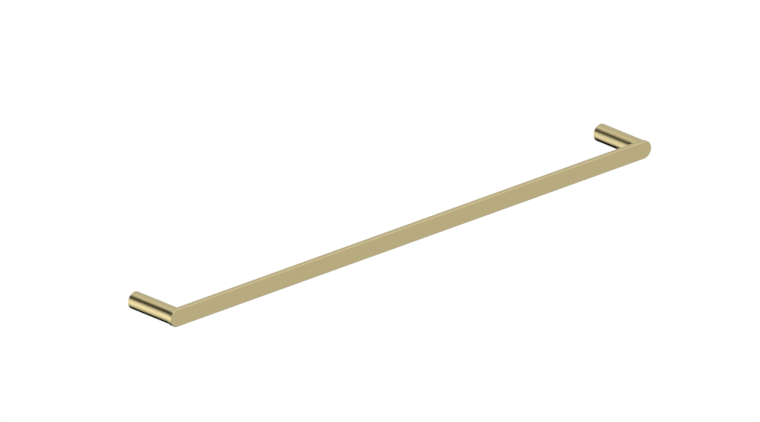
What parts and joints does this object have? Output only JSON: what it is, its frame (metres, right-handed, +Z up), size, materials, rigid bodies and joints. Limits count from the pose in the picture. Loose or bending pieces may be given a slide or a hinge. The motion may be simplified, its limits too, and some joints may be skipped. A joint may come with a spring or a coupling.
{
  "type": "towel rail",
  "caption": "Wall-mounted towel rail: a flat bar with round ends on two round posts that hide their wall fixings, in brushed gold.",
  "frame": {"origin": "on the wall plane, midway between the two posts and level with their axes", "axes": "+X along the bar, to the right as seen from the room, +Y into the wall, +Z up"},
  "size_m": [0.8, 0.078, 0.0228],
  "materials": {
    "brushed_gold": "brushed, satin",
    "screw_steel": "rolled stainless",
    "spring_steel": "tempered, oiled",
    "turned_steel": "turned stainless"
  },
  "bodies": {
    "root": {"rail_bar": "brushed_gold", "left_post": "brushed_gold", "right_post": "brushed_gold", "left_bar_screw": "screw_steel", "right_bar_screw": "screw_steel", "left_lock_washer": "spring_steel", "right_lock_washer": "spring_steel", "left_wall_boss": "turned_steel", "right_wall_boss": "turned_steel", "left_grub_screw": "screw_steel", "right_grub_screw": "screw_steel"}
  },
  "joints": []
}
